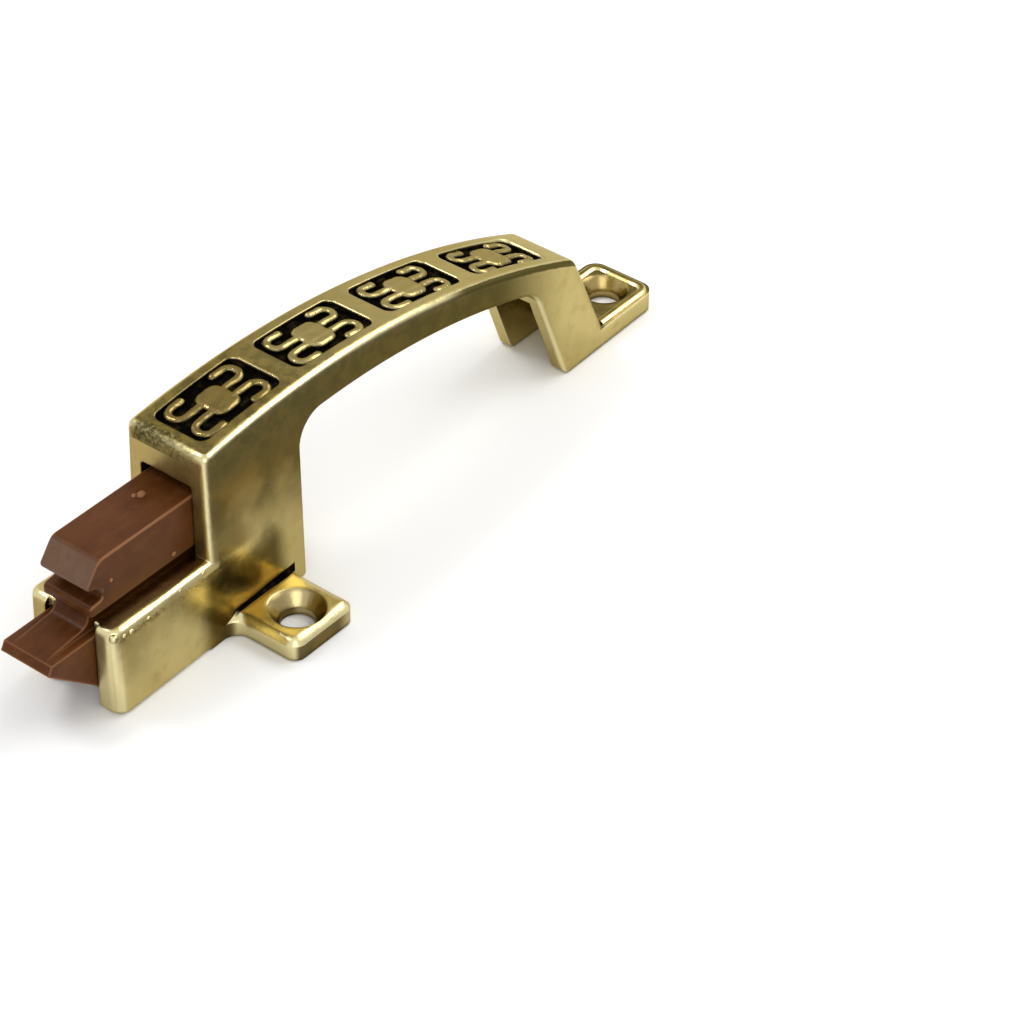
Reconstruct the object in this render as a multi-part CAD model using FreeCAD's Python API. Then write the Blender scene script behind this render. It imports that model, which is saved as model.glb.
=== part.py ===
import FreeCAD, Part
import math
import os

# A handle with a spring catch in its end. X runs along the handle, from the nose of the
# catch to the far foot, Z stands up out of the door, and the handle is the same on both
# sides of Y = 0. While it is built, X = 0 is the front face of the housing. At the end
# every piece is moved so that the origin is under the middle of the whole, on the door.

# Housing and the two cheeks in front of it, in millimetres
housing_depth = 18.8
housing_top_round = 1.3
cheek_length = 19.2
cheek_height = 13.9
cheek_corner_round = 2.0
cheek_base_round = 0.8

# Half widths at the two ends, at the door and at the level of the grip's top
near_base_half_width = 8.4
near_top_half_width = 7.35
far_base_half_width = 5.85
far_top_half_width = 5.8

# Arched grip and the finger gap under it
grip_top_height = 32.0
grip_top_x = 20.0
grip_top_radius = 148.0
grip_thickness = 5.9
grip_under_height = grip_top_height - grip_thickness
grip_under_x = 25.0
grip_under_radius = 137.0
outer_edge_round = 1.3
under_edge_round = 0.7
gap_round_near = 4.5
gap_round_far = 6.0

# Far foot, from the two lines where its leaning faces meet the door, and its tab
foot_front_x = 78.4
foot_length = 11.3
foot_back_x = foot_front_x + foot_length
foot_front_lean = 22.0
foot_back_lean = 25.4
foot_shoulder_round = 3.5
foot_toe_round = 1.4
foot_wall = 1.9
foot_hollow_height = 15.0
foot_hollow_round = 1.8
tab_length = 11.3
foot_end_x = foot_back_x + tab_length
tab_corner_round = 2.2
tab_hole_set_in = 5.1
tab_hole_x = foot_end_x - tab_hole_set_in
tab_sink_radius = 3.8

# Screw ears and what they share with the tab
ear_thickness = 3.2
ear_bevel = 0.9
ear_x = 9.8
ear_half_length = 6.1
ear_reach = 18.7
ear_corner_round = 1.8
ear_root_round = 3.0
ear_root_sink = 0.1
ear_hole_set_in = 5.1
ear_hole_y = ear_reach - ear_hole_set_in
ear_sink_radius = 4.1
screw_hole_radius = 2.45
sink_depth = 2.0

# Channel for the catch
channel_half_width = 4.5
lip_thickness = 1.6
lip_underside = cheek_height - lip_thickness
lip_half_gap = 3.25
lip_round = 0.45
lip_set_back = 0.8
lip_end_round = 0.6
rail_rise = 1.1
rail_top = cheek_height + rail_rise
rail_start_x = 1.5
opening_half_width = 4.55
roof_height = 6.8
opening_top = grip_top_height - roof_height
opening_round = 0.6
rear_wall = 3.0
rear_wall_x = housing_depth - rear_wall

# Base plate, and the pegs that hold it
plate_thickness = 0.8
plate_clearance = 0.1
plate_half_width = 5.2
plate_set_back = 2.7
plate_front_x = plate_set_back - cheek_length
plate_rear_margin = 0.9
plate_wing_reach = 8.3
plate_wing_half_length = 3.6
plate_corner_round = 0.8
peg_radius = 0.9
peg_head_radius = 1.4
peg_head_depth = 0.5
peg_clearance = 0.05
peg_y = 6.8

# Catch slide: its keel in the channel
slide_clearance = 0.2
travel = 8.0
travel_reserve = 1.8
slide_rear_x = rear_wall_x - travel - travel_reserve
keel_base = plate_thickness + slide_clearance
keel_top = lip_underside - slide_clearance
nose_reach = 8.5
nose_tip_x = -cheek_length - nose_reach
nose_tip_thickness = 1.3
nose_tip_bevel = 0.7
nose_ramp_angle = 40.0
rib_height = 0.9
neck_clearance = 0.3
neck_set_back = 0.5
neck_round = 1.6

# Catch slide: its thumb block. Shares are of its height; the rest is from the cheeks' front.
thumb_gap = 1.6
thumb_base = rail_top + slide_clearance
thumb_top = opening_top - thumb_gap
thumb_front_set_back = 1.9
thumb_top_round = 1.8
thumb_lip_overhang = 0.9
thumb_lip_share = 0.56
thumb_lip_round = 0.6
groove_set_back = 2.2
groove_top_share = 0.44
groove_low_share = 0.23
groove_round = 0.7
lower_lip_overhang = 0.3
lower_lip_share = 0.2
lower_lip_round = 0.75
thumb_edge_round = 0.4
thumb_round_most = 0.065

# Return spring, its bore in the keel and its peg on the rear wall
spring_wire = 0.7
spring_outer_radius = 2.6
spring_turns = 8
spring_end_gap = 0.1
spring_height = (keel_base + keel_top) / 2
spring_bore_radius = 2.8
spring_bore_depth = 12.0
spring_peg_radius = 1.7
spring_peg_length = 3.0
spring_peg_chamfer = 0.4

# Tongue of the base plate that stops the slide
stop_set_in = 11.5
stop_x = slide_rear_x - stop_set_in
stop_half_width = 2.0
stop_height = 2.9
stop_tip_round = 0.3
stop_window = 2.6
stop_slot_clearance = 0.3

# Ornament panels on the grip
panel_count = 4
panel_first_x = 10.4
panel_pitch = 19.2
panel_half_length = 8.0
panel_border = 2.35
panel_corner_round = 1.4
panel_depth = 0.8
ornament_drop = 0.25
boss_half_length = 2.3
boss_half_width = 2.7
boss_corner_round = 1.5
scroll_band = 0.95
scroll_inner_y = 1.0
scroll_turn_x = 4.9
scroll_end_x = 3.2
scroll_gap_to_border = 0.25

# Room that a cutter reaches past what it cuts, and how near counts as in the same place
over = 2.0
near = 0.05
touching = 1e-6

# The most of a straight side that the rounding at one end of it may take up
widest_share = 0.48


def vec(x, y, z):
    return FreeCAD.Vector(x, y, z)


def rounded_wire(corners, place):
    """Closed wire through corners (a, b, radius); place turns (a, b) into a point.

    A rounding takes up at most a little less than half of each side that it joins.
    """
    count = len(corners)
    starts = []
    ends = []
    mids = []
    for i in range(count):
        a, b, radius = corners[i]
        pa, pb, _ = corners[i - 1]
        na, nb, _ = corners[(i + 1) % count]
        to_last = (pa - a, pb - b)
        to_next = (na - a, nb - b)
        len_last = math.hypot(to_last[0], to_last[1])
        len_next = math.hypot(to_next[0], to_next[1])
        u = (to_last[0] / len_last, to_last[1] / len_last)
        v = (to_next[0] / len_next, to_next[1] / len_next)
        turn = math.acos(max(-1.0, min(1.0, u[0] * v[0] + u[1] * v[1])))
        radius = min(radius, widest_share * min(len_last, len_next) * math.tan(turn / 2.0))
        if radius <= 0.0:
            starts.append((a, b))
            ends.append((a, b))
            mids.append(None)
            continue
        cut = radius / math.tan(turn / 2.0)
        middle = (u[0] + v[0], u[1] + v[1])
        middle_len = math.hypot(middle[0], middle[1])
        reach = radius / math.sin(turn / 2.0) - radius
        starts.append((a + u[0] * cut, b + u[1] * cut))
        ends.append((a + v[0] * cut, b + v[1] * cut))
        mids.append((a + middle[0] / middle_len * reach, b + middle[1] / middle_len * reach))
    edges = []
    for i in range(count):
        if mids[i] is not None:
            arc = Part.Arc(place(*starts[i]), place(*mids[i]), place(*ends[i]))
            edges.append(arc.toShape())
        following = starts[(i + 1) % count]
        if math.dist(ends[i], following) > touching:
            edges.append(Part.makeLine(place(*ends[i]), place(*following)))
    return Part.Wire(edges)


def side_prism(corners, half_width):
    """Outline in X and Z, given as (x, z, radius), drawn out to both sides of Y = 0."""
    wire = rounded_wire(corners, lambda x, z: vec(x, -half_width, z))
    return Part.Face(wire).extrude(vec(0, 2 * half_width, 0))


def plan_prism(corners, low, high):
    """Outline in X and Y, given as (x, y, radius), drawn up from low to high."""
    wire = rounded_wire(corners, lambda x, y: vec(x, y, low))
    return Part.Face(wire).extrude(vec(0, 0, high - low))


def block(x_range, half_width, z_range):
    length = x_range[1] - x_range[0]
    height = z_range[1] - z_range[0]
    corner = vec(x_range[0], -half_width, z_range[0])
    return Part.makeBox(length, 2 * half_width, height, corner)


def cross_cylinder(radius, x, top):
    """Cylinder across the handle whose highest line is at the height top over x."""
    start = vec(x, -ear_reach, top - radius)
    return Part.makeCylinder(radius, 2 * ear_reach, start, vec(0, 1, 0))


def edges_like(shape, test):
    """Edges whose middle point and end-to-end direction pass the test."""
    found = []
    for edge in shape.Edges:
        first = edge.Vertexes[0].Point
        last = edge.Vertexes[-1].Point
        middle = edge.valueAt((edge.FirstParameter + edge.LastParameter) / 2.0)
        if test(middle, last - first):
            found.append(edge)
    return found


def half_width_at(x, z):
    """Half the width of the handle: its sides lean a little and draw in towards the foot."""
    along = (x + cheek_length) / (foot_end_x + cheek_length)
    base = near_base_half_width + along * (far_base_half_width - near_base_half_width)
    top = near_top_half_width + along * (far_top_half_width - near_top_half_width)
    return base + z / grip_top_height * (top - base)


def envelope():
    """The room between the two leaning sides, from the cheeks to the end of the foot."""
    high = grip_top_height + over
    sections = []
    for x in (-cheek_length, foot_end_x):
        base = half_width_at(x, 0)
        top = half_width_at(x, high)
        start = vec(x, -base, 0)
        points = [start, vec(x, base, 0), vec(x, top, high), vec(x, -top, high), start]
        sections.append(Part.makePolygon(points))
    return Part.makeLoft(sections, True, True)


def mirrored(shape):
    return shape.mirror(vec(0, 0, 0), vec(0, 1, 0))


def foot_front_at(z):
    return foot_front_x - z * math.tan(math.radians(foot_front_lean))


def foot_back_at(z):
    return foot_back_x - z * math.tan(math.radians(foot_back_lean))


def across(span):
    """True for an edge that crosses the whole handle."""
    return abs(span.y) > far_base_half_width and abs(span.x) < near


def finger_gap():
    """The space under the grip, with its two rounded upper corners."""
    high = grip_top_height + over
    corners = [
        (housing_depth, -over, 0),
        (foot_front_at(-over), -over, 0),
        (foot_front_at(high), high, 0),
        (housing_depth, high, 0),
    ]
    gap = side_prism(corners, near_base_half_width + over)
    gap = gap.common(cross_cylinder(grip_under_radius, grip_under_x, grip_under_height))

    def near_corner(point, span):
        return across(span) and point.z > over and point.x < grip_under_x

    def far_corner(point, span):
        return across(span) and point.z > over and point.x > grip_under_x

    gap = gap.makeFillet(gap_round_far, edges_like(gap, far_corner))
    return gap.makeFillet(gap_round_near, edges_like(gap, near_corner))


def casting_outline():
    """Cheeks, housing, arched grip, leaning foot and tab in one block with rounded edges."""
    high = grip_top_height + over
    corners = [
        (-cheek_length, 0, 0),
        (foot_end_x, 0, 0),
        (foot_end_x, ear_thickness, 0),
        (foot_back_at(ear_thickness), ear_thickness, 0),
        (foot_back_at(high), high, 0),
        (0, high, 0),
        (0, cheek_height, 0),
        (-cheek_length, cheek_height, 0),
    ]
    body = side_prism(corners, near_base_half_width + over)
    body = body.common(cross_cylinder(grip_top_radius, grip_top_x, grip_top_height))

    def front_top(point, span):
        return across(span) and point.z > cheek_height + over and point.x < over

    def back_shoulder(point, span):
        return across(span) and point.z > ear_thickness + over and point.x > over

    def cheek_corner(point, span):
        return point.x < near - cheek_length and abs(span.z) > over

    def tab_corner(point, span):
        return point.x > foot_end_x - near and abs(span.z) > over

    def outer_edge(point, span):
        side = abs(abs(point.y) - half_width_at(point.x, point.z)) < near
        cheek_top = abs(point.z - cheek_height) < near and point.x < 0
        housing_corner = abs(point.x) < near and point.z > cheek_height
        return side and (cheek_top or housing_corner)

    body = body.makeFillet(foot_shoulder_round, edges_like(body, back_shoulder))
    body = body.makeFillet(housing_top_round, edges_like(body, front_top))
    body = body.common(envelope())
    body = body.makeFillet(cheek_corner_round, edges_like(body, cheek_corner))
    body = body.makeFillet(tab_corner_round, edges_like(body, tab_corner))
    # This rounding runs on along every edge that carries on smoothly from these.
    return body.makeFillet(outer_edge_round, edges_like(body, outer_edge))


def grip_body():
    """The block with the finger gap cut out and the lower edges rounded."""
    body = casting_outline().cut(finger_gap())

    def under_edge(point, span):
        side = abs(abs(point.y) - half_width_at(point.x, point.z)) < near
        return side and abs(point.x - housing_depth) < near and abs(span.z) > over

    def front_base(point, span):
        return point.z < near and point.x < near - cheek_length + cheek_corner_round

    body = body.makeFillet(under_edge_round, edges_like(body, under_edge))
    return body.makeFillet(cheek_base_round, edges_like(body, front_base))


def screw_cutter(x, y, sink_radius):
    """Through hole with a countersink that opens at the top of the ear."""
    hole = Part.makeCylinder(screw_hole_radius, ear_thickness + 2 * over, vec(x, y, -over))
    slope = (sink_radius - screw_hole_radius) / sink_depth
    mouth = sink_radius + slope * over
    start = vec(x, y, ear_thickness - sink_depth)
    sink = Part.makeCone(screw_hole_radius, mouth, sink_depth + over, start)
    return hole.fuse(sink)


def ear_wire(inset, height):
    """Outline of an ear on the -Y side, drawn in by the inset, at one height."""
    low = ear_x - ear_half_length + inset
    high = ear_x + ear_half_length - inset
    tip = -ear_reach + inset
    root = ear_root_round + inset
    start = low - root - over
    inner = over - near_base_half_width

    def side(x):
        return ear_root_sink + inset - half_width_at(x, 0)

    corners = [
        (start, inner, 0),
        (start, side(start), 0),
        (low, side(low), root),
        (low, tip, ear_corner_round - inset),
        (high, tip, ear_corner_round - inset),
        (high, inner, 0),
    ]
    return rounded_wire(corners, lambda x, y: vec(x, y, height))


def screw_ear():
    """Ear on the -Y side of the box: a plain lower part under a bevelled one."""
    wall = ear_thickness - ear_bevel
    lower = Part.Face(ear_wire(0, 0)).extrude(vec(0, 0, wall))
    upper = Part.makeLoft([ear_wire(0, wall), ear_wire(ear_bevel, ear_thickness)], True, True)
    return lower.fuse(upper).removeSplitter()


def foot_hollow():
    """The far foot is a shell, open underneath and towards the fingers."""
    lean = math.radians(foot_back_lean)
    back = foot_wall / math.cos(lean)
    top = foot_hollow_height
    corners = [
        (foot_front_at(top) - over, -over, 0),
        (foot_back_at(-over) - back, -over, 0),
        (foot_back_at(top) - back, top, foot_hollow_round),
        (foot_front_at(top) - over, top, 0),
    ]
    return side_prism(corners, far_base_half_width - foot_wall)


def toe_cutter():
    """Rounds the front lower corner of the foot's two walls, where they meet the door."""
    reach = 2 * foot_toe_round
    corners = [
        (foot_front_x - over, -over, 0),
        (foot_front_x + reach, -over, 0),
        (foot_front_x + reach, 0, 0),
        (foot_front_x, 0, foot_toe_round),
        (foot_front_at(reach), reach, 0),
        (foot_front_x - over, reach, 0),
    ]
    return side_prism(corners, near_base_half_width + over)


def catch_channel():
    """Everything cut out of the box and the housing for the slide."""
    front = -cheek_length - over
    keel_space = block((front, rear_wall_x), channel_half_width, (-over, lip_underside))
    lip_front = lip_set_back - cheek_length
    corners = [
        (front, -channel_half_width, 0),
        (lip_front, -channel_half_width, 0),
        (lip_front, -lip_half_gap, lip_end_round),
        (rear_wall_x, -lip_half_gap, 0),
        (rear_wall_x, lip_half_gap, 0),
        (lip_front, lip_half_gap, lip_end_round),
        (lip_front, channel_half_width, 0),
        (front, channel_half_width, 0),
    ]
    lip_gap = plan_prism(corners, 0, rail_top + over)
    thumb_space = block((-over, rear_wall_x), opening_half_width, (rail_top, opening_top))
    front_step = block((-over, rail_start_x), opening_half_width, (cheek_height, rail_top + over))

    def opening_corner(point, span):
        return abs(span.x) > over and point.z > opening_top - near

    thumb_space = thumb_space.makeFillet(opening_round, edges_like(thumb_space, opening_corner))
    channel = keel_space.fuse([lip_gap, thumb_space, front_step])
    return channel.removeSplitter()


def spring_peg():
    start = vec(rear_wall_x + over / 2, 0, spring_height)
    length = spring_peg_length + over / 2
    peg = Part.makeCylinder(spring_peg_radius, length, start, vec(-1, 0, 0))

    def tip(point, span):
        return point.x < rear_wall_x - spring_peg_length + near

    return peg.makeChamfer(spring_peg_chamfer, edges_like(peg, tip))


def plate_outline(grow, low, high):
    """Outline of the base plate; its recess is the same outline grown by a clearance."""
    front = plate_front_x - grow
    rear = housing_depth - plate_rear_margin + grow
    wing_low = ear_x - plate_wing_half_length - grow
    wing_high = ear_x + plate_wing_half_length + grow
    side = plate_half_width + grow
    wing = plate_wing_reach + grow
    corner = plate_corner_round
    corners = [
        (front, -side, corner),
        (wing_low, -side, 0),
        (wing_low, -wing, corner),
        (wing_high, -wing, corner),
        (wing_high, -side, 0),
        (rear, -side, corner),
        (rear, side, corner),
        (wing_high, side, 0),
        (wing_high, wing, corner),
        (wing_low, wing, corner),
        (wing_low, side, 0),
        (front, side, corner),
    ]
    return plan_prism(corners, low, high)


def plate_pegs(grow):
    """Two staked pegs with flush conical heads; the holes in the plate are grown from them."""
    pegs = []
    for y in (-peg_y, peg_y):
        start = vec(ear_x, y, 0)
        shank_radius = peg_radius + grow
        shank_length = plate_thickness + 2 * plate_clearance
        pegs.append(Part.makeCylinder(shank_radius, shank_length, start))
        pegs.append(Part.makeCone(peg_head_radius + grow, shank_radius, peg_head_depth, start))
    return pegs[0].fuse(pegs[1:])


def grip_top_band(depth):
    """Layer of the grip under its arched top, as deep as the panels are sunk."""
    upper = cross_cylinder(grip_top_radius + over, grip_top_x, grip_top_height + over)
    lower = cross_cylinder(grip_top_radius - depth, grip_top_x, grip_top_height - depth)
    return upper.cut(lower)


def scroll(half_width, x_sign, y_sign):
    """One arm of the ornament: out from the boss, round, and back along the border."""
    tip = scroll_band / 2
    outer_y = half_width - scroll_gap_to_border - tip
    middle_y = (outer_y + scroll_inner_y) / 2
    turn = (outer_y - scroll_inner_y) / 2

    def at(x, y):
        return vec(x_sign * x, y_sign * y, grip_top_height / 2)

    def line(start_x, start_y, end_x, end_y):
        return Part.makeLine(at(start_x, start_y), at(end_x, end_y))

    def half_turn(x, y, radius, way):
        return Part.Arc(at(x, y - radius), at(x + way * radius, y), at(x, y + radius)).toShape()

    edges = [
        line(0, scroll_inner_y - tip, scroll_turn_x, scroll_inner_y - tip),
        half_turn(scroll_turn_x, middle_y, turn + tip, 1),
        line(scroll_turn_x, outer_y + tip, scroll_end_x, outer_y + tip),
        half_turn(scroll_end_x, outer_y, tip, -1),
        line(scroll_end_x, outer_y - tip, scroll_turn_x, outer_y - tip),
        half_turn(scroll_turn_x, middle_y, turn - tip, 1),
        line(scroll_turn_x, scroll_inner_y + tip, 0, scroll_inner_y + tip),
        line(0, scroll_inner_y + tip, 0, scroll_inner_y - tip),
    ]
    return Part.Face(Part.Wire(edges)).extrude(vec(0, 0, grip_top_height))


def rounded_block(half_length, half_width, radius, low, high):
    """Upright block round X = 0 and Y = 0 with four rounded corners."""
    corners = [
        (-half_length, -half_width, radius),
        (half_length, -half_width, radius),
        (half_length, half_width, radius),
        (-half_length, half_width, radius),
    ]
    return plan_prism(corners, low, high)


def ornament(half_width):
    """Boss with four scrolls, standing up through the panel."""
    low = grip_top_height / 2
    high = low + grip_top_height
    boss = rounded_block(boss_half_length, boss_half_width, boss_corner_round, low, high)
    arms = [scroll(half_width, x_sign, y_sign) for x_sign in (-1, 1) for y_sign in (-1, 1)]
    return boss.fuse(arms).removeSplitter()


def panel_cutters():
    """The sunk ground round each ornament, whose top lies a little under the arched top."""
    low = grip_top_height / 2
    high = grip_top_height + over
    sunk_band = grip_top_band(panel_depth)
    drop_band = grip_top_band(ornament_drop)
    cutters = []
    for i in range(panel_count):
        x = panel_first_x + i * panel_pitch
        half_width = half_width_at(x, grip_top_height) - panel_border
        panel = rounded_block(panel_half_length, half_width, panel_corner_round, low, high)
        ground = panel.cut(ornament(half_width))
        for shape, band in ((panel, drop_band), (ground, sunk_band)):
            shape.translate(vec(x, 0, 0))
            cutters.extend(shape.common(band).Solids)
    return cutters


def handle_body():
    body = grip_body().fuse([screw_ear(), mirrored(screw_ear())]).removeSplitter()
    body = body.cut(catch_channel())

    def lip_edge(point, span):
        on_lip = abs(abs(point.y) - lip_half_gap) < near and abs(point.z - cheek_height) < near
        return on_lip and abs(span.x) > over

    body = body.makeFillet(lip_round, edges_like(body, lip_edge))
    plate_recess = plate_outline(plate_clearance, -over, plate_thickness + plate_clearance)
    body = body.cut([foot_hollow(), toe_cutter(), plate_recess])
    body = body.fuse([spring_peg(), plate_pegs(0)])
    holes = [screw_cutter(ear_x, y, ear_sink_radius) for y in (-ear_hole_y, ear_hole_y)]
    holes.append(screw_cutter(tab_hole_x, 0, tab_sink_radius))
    return body.cut(holes + panel_cutters()).removeSplitter()


def keel():
    """The part of the slide that runs in the channel, with the wedge of the nose."""
    ramp_low = keel_top - nose_tip_thickness
    ramp_run = (ramp_low - keel_base) / math.tan(math.radians(nose_ramp_angle))
    corners = [
        (nose_tip_x, ramp_low, 0),
        (nose_tip_x + ramp_run, keel_base, 0),
        (slide_rear_x, keel_base, 0),
        (slide_rear_x, keel_top, 0),
        (nose_tip_x + nose_tip_bevel, keel_top, 0),
    ]
    return side_prism(corners, channel_half_width - slide_clearance)


def neck_and_rib():
    """The neck between the lips, with a low rib that runs out at the tip of the nose."""
    front = neck_set_back - cheek_length
    top = thumb_base + lower_lip_share * (thumb_top - thumb_base)
    corners = [
        (nose_tip_x + nose_tip_bevel, keel_top, 0),
        (slide_rear_x, keel_top - over, 0),
        (slide_rear_x, top, 0),
        (front, top, 0),
        (front, keel_top + rib_height, neck_round),
    ]
    return side_prism(corners, lip_half_gap - neck_clearance)


def thumb_block():
    """The block that the thumb pulls, with a hooked lip and a groove in its front."""
    height = thumb_top - thumb_base
    edge_round = min(thumb_edge_round, thumb_round_most * height)
    lip = -cheek_length - thumb_lip_overhang
    lower_lip = -cheek_length - lower_lip_overhang
    groove = groove_set_back - cheek_length
    corners = [
        (lower_lip, thumb_base, edge_round),
        (slide_rear_x, thumb_base, 0),
        (slide_rear_x, thumb_top, 0),
        (thumb_front_set_back - cheek_length, thumb_top, thumb_top_round),
        (lip, thumb_base + thumb_lip_share * height, thumb_lip_round),
        (groove, thumb_base + groove_top_share * height, groove_round),
        (groove, thumb_base + groove_low_share * height, groove_round),
        (lower_lip, thumb_base + lower_lip_share * height, lower_lip_round),
    ]
    thumb = side_prism(corners, opening_half_width - slide_clearance)

    def side_edge(point, span):
        return abs(span.y) < near and point.x < slide_rear_x - near

    return thumb.makeFillet(edge_round, edges_like(thumb, side_edge))


def catch_slide():
    """Thumb block, neck and wedge-shaped nose, moulded in one piece."""
    slide = keel().fuse([neck_and_rib(), thumb_block()])
    start = vec(slide_rear_x + over, 0, spring_height)
    bore = Part.makeCylinder(spring_bore_radius, spring_bore_depth + over, start, vec(-1, 0, 0))
    slot_front = stop_x - travel - travel_reserve
    slot_rear = stop_x + plate_thickness + peg_clearance
    slot_half_width = stop_half_width + stop_slot_clearance
    slot_top = stop_height + stop_slot_clearance
    slot = block((slot_front, slot_rear), slot_half_width, (0, slot_top))
    return slide.cut([bore, slot]).removeSplitter()


def return_spring():
    """Coil with ground ends, between the bottom of its bore and the rear wall."""
    front = slide_rear_x - spring_bore_depth + spring_end_gap
    rear = rear_wall_x - spring_end_gap
    length = rear - front
    radius = spring_outer_radius - spring_wire / 2
    pitch = length / spring_turns
    helix = Part.makeHelix(pitch, length + pitch, radius)
    section = Part.Wire(Part.makeCircle(spring_wire / 2, vec(radius, 0, 0), vec(0, 1, 0)))
    coil = Part.Wire(helix).makePipeShell([section], True, True)
    coil.rotate(vec(0, 0, 0), vec(0, 1, 0), 90)
    coil.translate(vec(front - pitch / 2, 0, spring_height))
    start = vec(front, 0, spring_height)
    room = Part.makeCylinder(spring_outer_radius + over, length, start, vec(1, 0, 0))
    return coil.common(room)


def base_plate():
    """Steel plate staked under the box, with a tongue turned up as the slide's stop."""
    plate = plate_outline(0, 0, plate_thickness)
    window = block((stop_x - stop_window, stop_x), stop_half_width, (-over, over))
    tongue = side_prism(
        [
            (stop_x, 0, 0),
            (stop_x + plate_thickness, 0, 0),
            (stop_x + plate_thickness, stop_height, stop_tip_round),
            (stop_x, stop_height, stop_tip_round),
        ],
        stop_half_width,
    )
    return plate.cut(window).cut(plate_pegs(peg_clearance)).fuse(tongue).removeSplitter()


def export(shape, name, shift):
    placed = shape.copy()
    placed.translate(shift)
    solids = placed.Solids
    print(name, "solids", len(solids), "valid", placed.isValid(), "volume", round(placed.Volume, 1))
    single = solids[0] if len(solids) == 1 else Part.makeCompound(solids)
    single.exportStep("parts/" + name + ".step")


def main():
    os.makedirs("parts", exist_ok=True)
    middle_x = (nose_tip_x + foot_end_x) / 2
    shift = vec(-middle_x, 0, 0)
    export(handle_body(), "handle_body", shift)
    export(catch_slide(), "catch_slide", shift)
    export(return_spring(), "return_spring", shift)
    export(base_plate(), "base_plate", shift)


main()
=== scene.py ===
import math

import bmesh
import bpy
from mathutils import Matrix, Vector


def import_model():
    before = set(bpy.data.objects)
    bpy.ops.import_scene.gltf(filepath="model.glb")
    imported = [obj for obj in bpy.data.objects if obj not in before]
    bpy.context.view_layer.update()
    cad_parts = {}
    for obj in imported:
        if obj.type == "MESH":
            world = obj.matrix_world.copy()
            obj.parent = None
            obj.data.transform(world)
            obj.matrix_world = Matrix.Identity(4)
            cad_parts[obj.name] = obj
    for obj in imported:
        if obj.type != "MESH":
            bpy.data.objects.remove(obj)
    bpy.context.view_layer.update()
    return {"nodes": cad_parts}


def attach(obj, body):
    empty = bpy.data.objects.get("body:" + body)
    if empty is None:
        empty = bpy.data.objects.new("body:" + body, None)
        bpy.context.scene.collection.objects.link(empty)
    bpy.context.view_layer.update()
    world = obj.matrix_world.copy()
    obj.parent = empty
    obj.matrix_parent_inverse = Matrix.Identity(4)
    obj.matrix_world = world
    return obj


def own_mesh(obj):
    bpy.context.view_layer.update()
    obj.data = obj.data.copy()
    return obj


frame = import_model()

# Metres throughout. X runs along the handle from the nose of the catch to the far foot,
# Z stands up out of the door, and the origin is on the door under the middle of the part.

MM = 0.001

# The frame the part was drawn in starts at the front face of the housing
HOUSING_FRONT_X = -36.65 * MM

# Arched top of the grip and its four sunk panels
ARCH_X = HOUSING_FRONT_X + 20.0 * MM
ARCH_TOP = 32.0 * MM
ARCH_RADIUS = 148.0 * MM
PANEL_COUNT = 4
PANEL_FIRST_X = HOUSING_FRONT_X + 10.4 * MM
PANEL_PITCH = 19.2 * MM
PANEL_BORDER = 2.35 * MM
PANEL_DEPTH = 0.8 * MM
PANELS_END_X = PANEL_FIRST_X + (PANEL_COUNT - 0.5) * PANEL_PITCH

# Half width of the grip at its top, at the two ends of the casting
NEAR_END_X = HOUSING_FRONT_X - 19.2 * MM
FAR_END_X = HOUSING_FRONT_X + 101.0 * MM
NEAR_HALF_WIDTH = 7.35 * MM
FAR_HALF_WIDTH = 5.8 * MM

# Corner between the top of an ear and the side of the box, as a line in X and Y
EAR_TOP = 3.2 * MM
EAR_ROOT_Y = 7.9 * MM
EAR_ROOT_SLOPE = 0.0205
EAR_START_X = HOUSING_FRONT_X + 2.5 * MM
EAR_END_X = HOUSING_FRONT_X + 16.2 * MM

# Middles of the screw holes, and the reach of their countersinks
EAR_HOLE = (-26.85 * MM, 13.6 * MM)
TAB_HOLE = (59.25 * MM, 0.0)
COUNTERSINK_RADIUS = 4.1 * MM

# Rounded border along the edge of the far tab, from inside the foot round the end and back
BORDER_START_X = 51.8 * MM
BORDER_INSET = 1.0 * MM
BORDER_TURN = 1.5 * MM
BORDER_HALF_WIDTH = 0.7 * MM
BORDER_HEIGHT = 0.4 * MM
BORDER_SINK = 0.03 * MM

# Ornament of a panel: a boss and four scrolls, whose flat tops in the casting get domes
ORNAMENT_DROP = 0.25 * MM
BOSS_HALF_LENGTH = 2.3 * MM
BOSS_HALF_WIDTH = 2.7 * MM
BOSS_ROUND = 1.5 * MM
SCROLL_BAND = 0.95 * MM
SCROLL_INNER_Y = 1.0 * MM
SCROLL_TURN_X = 4.9 * MM
SCROLL_END_X = 3.2 * MM
SCROLL_GAP = 0.25 * MM
DOME_HALF_WIDTH = 0.72 * MM
DOME_FOOT = 0.74 * MM
DOME_CREST = 0.02 * MM
DOME_UNEVEN = 0.18 * MM
BOSS_UNEVEN = 0.05 * MM
BOSS_RIM = 0.8 * MM
BOSS_GROW = 0.22 * MM
DOME_STEPS = 8
TURN_STEPS = 14
NECK_STEPS = 7
TAIL_STEPS = 3

# Small moulding marks: place, and radius along and out of the surface
GATE_MARKS = (
    ((-3.9, 0.9, 23.6), (0.75, 0.55, 0.5)),
    ((-4.7, 1.5, 23.6), (0.4, 0.32, 0.3)),
    ((-15.5, -4.35, 19.3), (0.3, 0.13, 0.3)),
    ((-3.8, -4.35, 16.3), (0.4, 0.13, 0.35)),
)
CASTING_NUBS = (
    ((-18.6, -7.3, 12.95), 0.62),
    ((-17.2, -7.75, 12.85), 0.36),
    ((-15.9, -7.75, 12.8), 0.46),
    ((-12.6, -7.72, 12.9), 0.34),
    ((-6.2, -7.4, 13.2), 0.32),
    ((-1.6, -7.25, 13.2), 0.38),
)

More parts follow.
